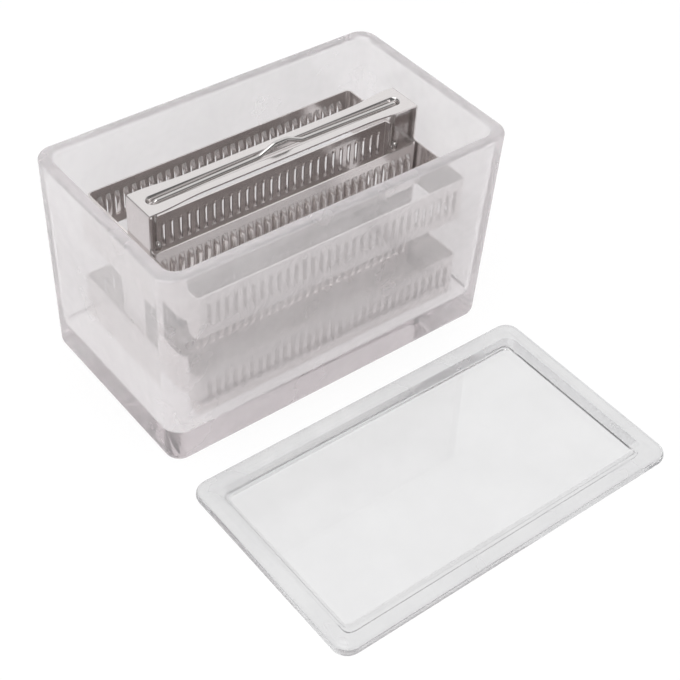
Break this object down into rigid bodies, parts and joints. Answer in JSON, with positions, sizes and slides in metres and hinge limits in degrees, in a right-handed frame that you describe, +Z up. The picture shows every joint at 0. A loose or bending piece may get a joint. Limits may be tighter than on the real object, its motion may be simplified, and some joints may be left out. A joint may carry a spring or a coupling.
{
  "type": "slide staining jar",
  "caption": "Rectangular thick-walled glass staining jar with a glass cover and a steel slide rack that has a lift-up wire in its handle.",
  "frame": {"origin": "centre of the jar's base, on the table", "axes": "+X along the jar's long side, +Y away from the cover that lies in front of the jar, +Z up"},
  "size_m": [0.167, 0.2042, 0.098],
  "materials": {
    "jar_glass": "clear pressed glass, fire-polished",
    "lid_glass": "clear pressed glass, fire-polished",
    "rack_steel": "bright rolled stainless sheet",
    "plate_steel": "bright rolled stainless sheet",
    "strap_steel": "bright rolled stainless sheet, satin on top",
    "wire_steel": "bright drawn stainless wire"
  },
  "bodies": {
    "jar": {"jar_body": "jar_glass", "lid": "lid_glass", "upper_outer_band": "rack_steel", "upper_centre_band": "rack_steel", "lower_outer_band": "rack_steel", "lower_centre_band": "rack_steel", "bottom_plate": "plate_steel", "handle_strap": "strap_steel"},
    "lift_wire": {"lift_wire": "wire_steel"}
  },
  "joints": [
    {"name": "lift_wire_slide", "type": "slide", "parent": "jar", "child": "lift_wire", "axis": [0, 0, 1], "range_m": [0, 0.016]}
  ]
}
